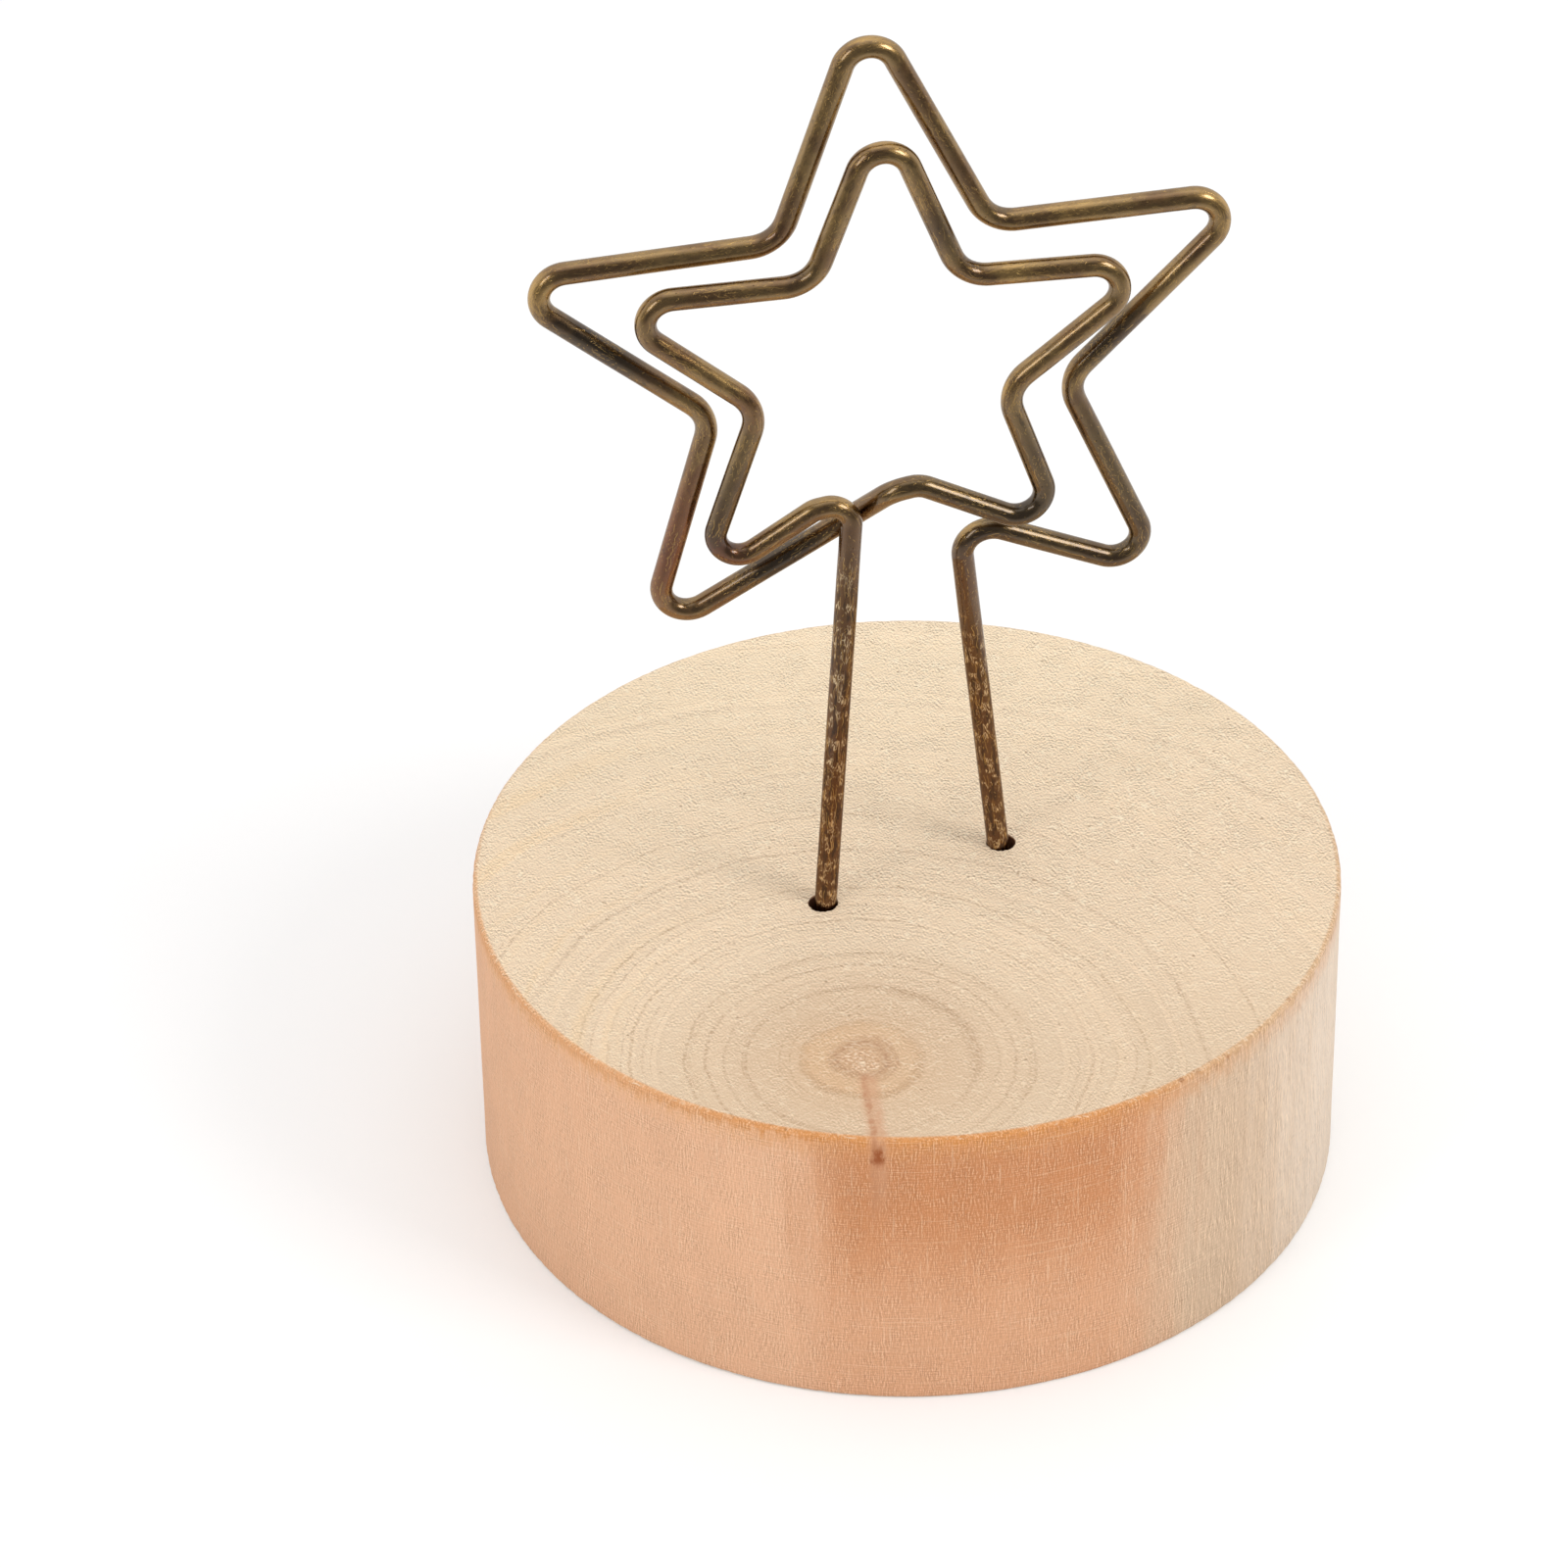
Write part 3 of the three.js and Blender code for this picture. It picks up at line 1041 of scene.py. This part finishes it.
# %% Sizes of the wire
WIRE_RADIUS = 0.51
WIRE_SIDES = 36
BEND_STEP = math.radians(5)
RUN_STEP = 0.35
PLANE_STEP = 0.61
FRONT_Y = HOLE_MIDDLE.y - PLANE_STEP
BACK_Y = HOLE_MIDDLE.y + PLANE_STEP
STAR_CENTRE = Vector((-0.7, 42.8))
SMALL_REACH = 13
LARGE_REACH = 17.7
TIP_BEND = 1.22
NOTCH_BEND = 1.83
LOW_TIP_BEND = 1.95
CROWN_BEND = 1.5
LEFT_SHOULDER_BEND = 0.95
RIGHT_SHOULDER_BEND = 1.3
CROSSING_BEND = 2
FOOT_BEND = 6
RIGHT_LEG_JOIN = 2.6
LEG_END = 5.3
LEAN_START = 14.65
LEG_LEAN = 0.111
GENTLE_TURN = 0.3
FULL_TURN = 1.2
SHORTEST_RUN = WIRE_RADIUS * 0.02
UNEVEN = 0.01
UNEVEN_ROUND = 1.5
UNEVEN_ALONG = 0.35
PRESSED_INSIDE = 0.06
PRESSED_OUTSIDE = 0.02
SHARP_END = math.radians(60)

SMALL_STAR_SHARES = [
    (-140, 1.055), (-103, 0.46), (-70.5, 1.035), (-36, 0.45), (-1.5, 1.02),
    (34, 0.42), (69.5, 0.995), (106.5, 0.4), (140.5, 0.925),
]
LARGE_STAR_SHARES = [
    (-141.5, 1), (-106.5, 0.46), (-72.5, 1.01), (-37.5, 0.44), (-3, 0.99),
    (35, 0.44), (67, 1), (104.5, 0.46), (135.5, 1),
]
print("corners:", len(SMALL_STAR_SHARES), "and", len(LARGE_STAR_SHARES), "on the two stars")


# %% The corners of the wire
def star_point(place, reach, y):
    turn, share = math.radians(place[0]), place[1]
    x = STAR_CENTRE.x + reach * share * math.sin(turn)
    z = STAR_CENTRE.y + reach * share * math.cos(turn)
    return Vector((x, y, z))


def star_corners(shares, reach, y):
    bends = (TIP_BEND, NOTCH_BEND)
    return [(star_point(place, reach, y), bends[i % 2]) for i, place in enumerate(shares)]


def leg_foot(side):
    """A leg's end in its hole, and the point just under the wood's face where it starts to lean."""
    inwards = (HOLE_SPACING / 2 - LEG_LEAN) * side
    x = HOLE_MIDDLE.x + inwards * math.cos(HOLE_TURN)
    y = HOLE_MIDDLE.y + inwards * math.sin(HOLE_TURN)
    return [(Vector((x, y, LEG_END)), 0), (Vector((x, y, LEAN_START)), FOOT_BEND)]


crown_left = star_point((-156, 0.575), SMALL_REACH, FRONT_Y)
crown_right = star_point((172.5, 0.475), SMALL_REACH, FRONT_Y)


def on_crown(share):
    return crown_left.lerp(crown_right, share)


small_corners = star_corners(SMALL_STAR_SHARES, SMALL_REACH, FRONT_Y)
small_corners[0] = (small_corners[0][0], LOW_TIP_BEND)
shoulder = star_point((160.5, 0.525), LARGE_REACH, BACK_Y)
right_foot, right_lean = leg_foot(1)
right_join = shoulder + (right_lean[0] - shoulder).normalized() * RIGHT_LEG_JOIN

routes = {
    "left_leg": [*leg_foot(-1), (on_crown(0.33), LEFT_SHOULDER_BEND), (crown_left, 0)],
    "small_star": [
        (crown_left, 0), (on_crown(-0.12), LEFT_SHOULDER_BEND), *small_corners,
        (on_crown(1.11), CROWN_BEND), (crown_right, 0),
    ],
    "large_star": [
        (crown_right, 0), (on_crown(0.78), CROWN_BEND),
        (star_point((-169.5, 0.465), LARGE_REACH, BACK_Y), CROSSING_BEND),
        *star_corners(LARGE_STAR_SHARES, LARGE_REACH, BACK_Y),
        (shoulder, RIGHT_SHOULDER_BEND), (right_join, 0),
    ],
    "right_leg": [(right_join, 0), right_lean, right_foot],
}
print("corners along the wire:", {name: len(route) for name, route in routes.items()})

# %% [markdown]
# The corners are now turned into stations: places along the wire, each with its direction. A bend
# is an arc that touches the straight runs on both sides, as a pin leaves it. Blender can sweep a
# section along a curve by itself, but it would not say how hard each place is bent, and the wear
# on the metal depends on that.

# %% From corners to stations
class Station:
    """One place along the wire: where it is, which way it runs, and how it is bent there."""

    def __init__(self, point, ahead, outward=None, bend=0):
        self.point = point
        self.ahead = ahead
        self.outward = outward or Vector((0, 0, 0))
        self.bend = bend


def run_between(start, end, stations):
    """Adds even stations along a straight run."""
    ahead = (end - start).normalized()
    count = max(1, round((end - start).length / RUN_STEP))
    for i in range(count):
        stations.append(Station(start.lerp(end, i / count), ahead))


def stations_of(route):
    points = [point for point, _ in route]
    last = len(points) - 1
    stations = []
    here = points[0]
    for i in range(1, last):
        before = (points[i] - points[i - 1]).normalized()
        after = (points[i + 1] - points[i]).normalized()
        turn = before.angle(after)
        room = (points[i] - points[i - 1]).length * (1 if i == 1 else 0.5)
        room = min(room, (points[i + 1] - points[i]).length * (1 if i + 1 == last else 0.5))
        cut = min(route[i][1] * math.tan(turn / 2), room)
        radius = cut / math.tan(turn / 2)
        start = points[i] - before * cut
        axis = before.cross(after).normalized()
        centre = start + axis.cross(before) * radius
        if (start - here).length > SHORTEST_RUN:
            run_between(here, start, stations)
        steps = max(2, math.ceil(turn / BEND_STEP))
        for k in range(steps + 1):
            swing = Quaternion(axis, turn * k / steps)
            spoke = swing @ (start - centre)
            strength = 0
            if turn > GENTLE_TURN:
                strength = math.sin(math.pi * k / steps) * min(1, turn / FULL_TURN)
            stations.append(Station(centre + spoke, swing @ before, spoke.normalized(), strength))
        here = stations.pop().point
    run_between(here, points[last], stations)
    stations.append(Station(points[last], (points[last] - points[last - 1]).normalized()))
    return stations


wire_stations = {name: stations_of(route) for name, route in routes.items()}


def length_of(stations):
    return sum((b.point - a.point).length for a, b in zip(stations, stations[1:]))


wire_length = sum(length_of(stations) for stations in wire_stations.values())
print("wire length, mm:", round(wire_length, 1))

# %% [markdown]
# Each run gets two maps. The first says how far along the whole wire a point is, and how far
# round it, so that streaks and stains run on across the joins. The second says how hard the
# point was rubbed, which is most on the outside of a bend, and how hard it was pinched, which is
# on the inside.

# %% The wire's mesh
FRONT = Vector((0, -1, 0))


def section_of(station, along):
    """The ring of points round one station, with the angle, rub and pinch of each."""
    front = (FRONT - station.ahead * FRONT.dot(station.ahead)).normalized()
    beside = station.ahead.cross(front)
    ring = []
    for k in range(WIRE_SIDES):
        angle = 2 * math.pi * k / WIRE_SIDES
        way = front * math.cos(angle) + beside * math.sin(angle)
        outer = way.dot(station.outward) * station.bend
        rub, pinch = max(0, outer), max(0, -outer)
        lump = Vector((way.x * UNEVEN_ROUND, way.z * UNEVEN_ROUND, along * UNEVEN_ALONG))
        pressed = PRESSED_INSIDE * pinch**2 + PRESSED_OUTSIDE * rub**2
        radius = WIRE_RADIUS * (1 + UNEVEN * noise.noise(lump) - pressed)
        ring.append((station.point + way * radius, k / WIRE_SIDES, rub, pinch))
    return ring


def build_wire(name, piece_name, stations, along):
    rings = []
    spans = []
    for i, station in enumerate(stations):
        if i:
            along += (station.point - stations[i - 1].point).length
        rings.append(section_of(station, along))
        spans.append(along / wire_length)
    mesh = bmesh.new()
    run_map = mesh.loops.layers.uv.new("run")
    wear_map = mesh.loops.layers.uv.new("wear")
    verts = [[mesh.verts.new(point * MM) for point, _, _, _ in ring] for ring in rings]
    for i in range(len(rings) - 1):
        for k in range(WIRE_SIDES):
            after = (k + 1) % WIRE_SIDES
            corners = ((i, k), (i, after), (i + 1, after), (i + 1, k))
            face = mesh.faces.new([verts[a][b] for a, b in corners])
            face.smooth = True
            for loop, (a, b) in zip(face.loops, corners):
                _, round_share, rub, pinch = rings[a][b]
                if b == after and after == 0:
                    round_share = 1
                loop[run_map].uv = (spans[a], round_share)
                loop[wear_map].uv = (rub, pinch)
    for ring, span in ((list(reversed(verts[0])), spans[0]), (verts[-1], spans[-1])):
        cap = mesh.faces.new(ring)
        for loop in cap.loops:
            loop[run_map].uv = (span, 0.5)
    piece = make_piece(mesh, piece_name, SHARP_END)
    print(piece_name, "for", name, "has", len(piece.data.polygons), "faces")
    return piece, along


print("each run will be a tube with", WIRE_SIDES, "sides")

# %% [markdown]
# The bronze is a plating that was darkened and then rubbed. Under it all the metal is the same
# olive bronze; darkening leaves blackish stretches, the reddish stretches are partly a coppery
# patina and partly painted reflection of the wood below, and handling brings up brass on the
# outside of each bend and along short nicks. A clear lacquer over it gives the sharp white lines
# of light, which the tinted metal alone could not. The stretches are listed one by one: the
# corner of the run that each lies at, where 2.5 is halfway from corner 2 to corner 3, how many
# millimetres it reaches, and how strong it is.

# %% Colours of the bronze
BRONZE = paint(156, 125, 77)
BRONZE_BROWN = paint(125, 93, 57)
BRONZE_DARK = paint(54, 43, 31)
BRONZE_RED_AND_WOOD_REFLECTION = paint(124, 72, 44)
BRASS = paint(206, 166, 98)
NEARLY_BLACK = paint(30, 25, 21)

STRETCHES = (
    (BRONZE_DARK, "large_star", (4.55, 4, 0.85), (2.35, 3.2, 0.85), (9.75, 2.6, 0.7),
        (12.6, 2, 0.6), (10.5, 7, 0.58), (11.6, 7, 0.58)),
    (BRONZE_DARK, "small_star", (2.25, 1.2, 0.7), (6.7, 2, 0.45), (2.5, 5, 0.45),
        (9.6, 6, 0.55), (10.6, 6, 0.55)),
    # reddish: partly coppery patina, partly painted reflection of the wood below
    (BRONZE_RED_AND_WOOD_REFLECTION, "large_star", (3.45, 5.5, 0.8), (6, 1.6, 0.35)),
    (BRONZE_RED_AND_WOOD_REFLECTION, "small_star", (1.9, 1.6, 0.55), (3.05, 1.4, 0.4)),
    (BRONZE_RED_AND_WOOD_REFLECTION, "left_leg", (1.3, 9, 0.7)),
    (BRONZE_RED_AND_WOOD_REFLECTION, "right_leg", (0.8, 9, 0.45)),
    (BRASS, "large_star", (8.3, 1.6, 0.35), (5, 1.2, 0.45), (9, 1.4, 0.25)),
    (BRASS, "small_star", (7.25, 1, 0.45)),
)
print("bronze is mixed; it has", sum(len(places) for _, _, *places in STRETCHES), "stretches")


# %% Places along the wire
def wire_place(run, corner):
    """How far along the whole wire a corner, or a place between two corners, lies."""
    before = 0
    for name, stations in wire_stations.items():
        if name == run:
            break
        before += length_of(stations)
    first = int(corner)
    spot = routes[run][first][0].lerp(routes[run][first + 1][0], corner - first)
    nearest = min(range(len(stations)), key=lambda i: (stations[i].point - spot).length)
    return before + length_of(stations[: nearest + 1])


print("the large star's top tip is", round(wire_place("large_star", 7), 1), "mm along the wire")


# %% Tone of the bronze
def paint_tone(straight, length, pinch):
    """The bronze before its nicks: olive and brown clouds, and the listed stretches."""
    cloudy = cloud(stretch(straight, 0.4, 1, 1), 1, 3, 0.6)
    mottle = cloud(stretch(straight, 1.8, 4, 4), 1, 4, 0.7)
    colour = blend(step(cloudy, 0.36, 0.62), BRONZE_BROWN, BRONZE)
    wander = plus(length, centred(mottle, 3))
    for tone, run, *places in STRETCHES:
        for corner, reach, strength in places:
            mask = near_band(wander, wire_place(run, corner), reach)
            colour = lay(colour, tone, mask, strength)
    stain = cloud(stretch(straight, 0.9, 1.8, 1.8), 1, 4, 0.65)
    colour = lay(colour, NEARLY_BLACK, step(stain, 0.58, 0.68, 0, 0.45))
    colour = lay(colour, NEARLY_BLACK, pinch, 0.5)
    return shade(colour, plus(centred(mottle, 0.9), 1)), mottle


print("the tone is ready")

# %% [markdown]
# The legs were rubbed least. They stay dull, and their brown is partly the bronze's own and
# partly painted reflection of the wood they stand in, with dark stains and thin wavy pale lines.
# Lines drawn one by one could cross each other. These are bands of one stretched noise, which
# run side by side, like the height lines on a map, and never cross.

# %% The dull legs
# the legs' brown: partly the bronze's own, partly painted reflection of the wood below
LEG_BROWN_AND_WOOD_REFLECTION = paint(100, 68, 40)
LEG_LINE = paint(232, 206, 164)


def leg_masks(length):
    """Two masks that are 1 on the legs: for the dulled brown, and for the lines further down."""
    left = wire_place("left_leg", 2)
    right = wire_place("right_leg", 0)
    dulled = larger(drop(length, left - 1, left + 1), step(length, right - 2, right))
    leg = larger(drop(length, left - 5, left - 1), step(length, right + 1, right + 6))
    return dulled, leg


def paint_legs(colour, flat, dulled, leg):
    # painted reflection of the wood below, over the legs' own brown
    colour = lay(colour, LEG_BROWN_AND_WOOD_REFLECTION, dulled, 0.85)
    threads = cloud(stretch(flat, 0.9, 4.2, 1), 1, 2, 0.6, "2D")
    colour = lay(colour, NEARLY_BLACK, drop(threads, 0.34, 0.48), leg, 0.55)
    gaps = step(cloud(flat, 1.7, 1, dimensions="2D"), 0.43, 0.57)
    lines = larger(near_band(threads, 0.54, 0.035), near_band(threads, 0.66, 0.03))
    return lay(colour, LEG_LINE, lines, gaps, leg, 0.85)


print("the legs can be painted")

# %% [markdown]
# Wear on the plating is fine and broken: short nicks, lines that the bending tool drew along the
# wire, and bright grains. Plain noise would leave clouds instead of marks, so each is a shared
# effect, which draws separate marks, and more of them where the wire was rubbed.

# %% Nicks, drawn lines and bright grains
def bright_marks(straight, length, unrolled, flat, rub, dulled, leg):
    """The nicks, and all the marks that show bright."""
    busy = step(cloud(length, 0.28, 2, dimensions="1D"), 0.42, 0.62, 0.12, 0.75)
    share = product(plus(busy, product(rub, 0.5)), step(dulled, 0, 1, 0.85, 0.5))
    small = use(fibres, flat, Spacing=0.17, Length=0.2, Width=0.05, Spread=1.6, Share=share)
    large = use(fibres, flat, Spacing=0.7, Length=0.9, Width=0.04, Spread=0.6, Share=share)
    nicks = larger(small, large)
    wave = centred(cloud(flat, 1.4, 1, dimensions="2D"), 0.25)
    pulled = joined(product(length, 0.22), plus(unrolled, wave))
    lines = plus(product(leg, 0.22), product(share, 0.35))
    drawn = use(fibres, pulled, Spacing=0.15, Length=0.2, Width=0.04, Spread=0.5, Share=lines)
    grains = use(specks, straight, Spacing=0.2, Size=0.07, Share=share)
    bright = larger(product(nicks, 0.5), product(drawn, 0.65))
    return nicks, larger(bright, product(grains, 0.55))


print("the nicks are ready")

# %% [markdown]
# All four runs share one bronze, so that nothing changes where they meet. Colour, roughness and
# relief could each have noise of their own, but they follow one mottle, as they do on a real
# plating. The lacquer is thinner over bright marks and pits, so the lines of light break up there.

# %% The bronze material, put together
PALE_BRASS = paint(226, 184, 112)
EDGE_BROWN = paint(186, 170, 150)
BRONZE_RELIEF = 0.008


def bronze_material():
    material = new_material("antique bronze")
    run = parts_of(add("ShaderNodeUVMap", uv_map="run").outputs[0])
    wear = parts_of(add("ShaderNodeUVMap", uv_map="wear").outputs[0])
    rub, pinch = wear.x, wear.y
    angle = product(run.y, 2 * math.pi)
    length = product(run.x, wire_length)
    round_x = product(calc("COSINE", angle), WIRE_RADIUS)
    round_y = product(calc("SINE", angle), WIRE_RADIUS)
    straight = joined(length, round_x, round_y)
    back_seam = calc("FRACT", plus(run.y, 0.5))
    unrolled = product(back_seam, 2 * math.pi * WIRE_RADIUS)
    flat = joined(length, unrolled)

    dulled, leg = leg_masks(length)
    colour, mottle = paint_tone(straight, length, pinch)
    colour = paint_legs(colour, flat, dulled, leg)
    nicks, bright = bright_marks(straight, length, unrolled, flat, rub, dulled, leg)
    worn = step(plus(rub, centred(mottle, 1)), 0.62, 1.05, 0, 0.75)
    worn = product(worn, step(dulled, 0, 1, 0.8, 0.2))
    colour = lay(colour, BRASS, worn)
    colour = lay(colour, PALE_BRASS, bright)
    pits = use(specks, straight, Spacing=0.28, Size=0.09, Share=0.3)
    colour = lay(colour, NEARLY_BLACK, pits, 0.55)

    relief = minus(mottle, product(larger(pits, nicks), 0.6))
    unbroken = step(larger(bright, pits), 0.1, 0.7, 1, 0.35)
    inputs = {
        "Base Color": colour,
        "Metallic": 1,
        "Roughness": step(mottle, 0.3, 0.7, 0.22, 0.36),
        "Coat Weight": product(unbroken, step(leg, 0, 1, 1, 0.55)),
        "Coat Roughness": 0.05,
        "Coat IOR": 1.5,
        "Specular Tint": EDGE_BROWN,
    }
    cover(relief, BRONZE_RELIEF, inputs)
    return material


bronze = bronze_material()
print("the bronze is mixed")

# %% [markdown]
# The four runs are built one after another, each starting where the last one ended, and each
# takes the place of its measured node. The small star rides on the body that springs forward;
# the other three ride on the clip.

# %% The four runs of wire
PIECES = (
    ("left_leg", "left_leg_wire", "clip"),
    ("small_star", "small_star_wire", "small_loop"),
    ("large_star", "large_star_wire", "clip"),
    ("right_leg", "right_leg_wire", "clip"),
)

along = 0
for node, piece_name, body in PIECES:
    piece, along = build_wire(node, piece_name, wire_stations[node], along)
    piece.data.materials.append(bronze)
    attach(piece, body)
    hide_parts(node)

# %% [markdown]
# ## The last look
#
# The dressed holder should fill the same space as the measured one, so both boxes are printed.

# %% Print the boxes and finish
dressed_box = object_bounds()
sizes = {
    "cad": [list(corner) for corner in measured_box],
    "visual": [list(corner) for corner in dressed_box],
}
for name, corners in sizes.items():
    print(name, [[round(value / MM, 3) for value in corner] for corner in corners])
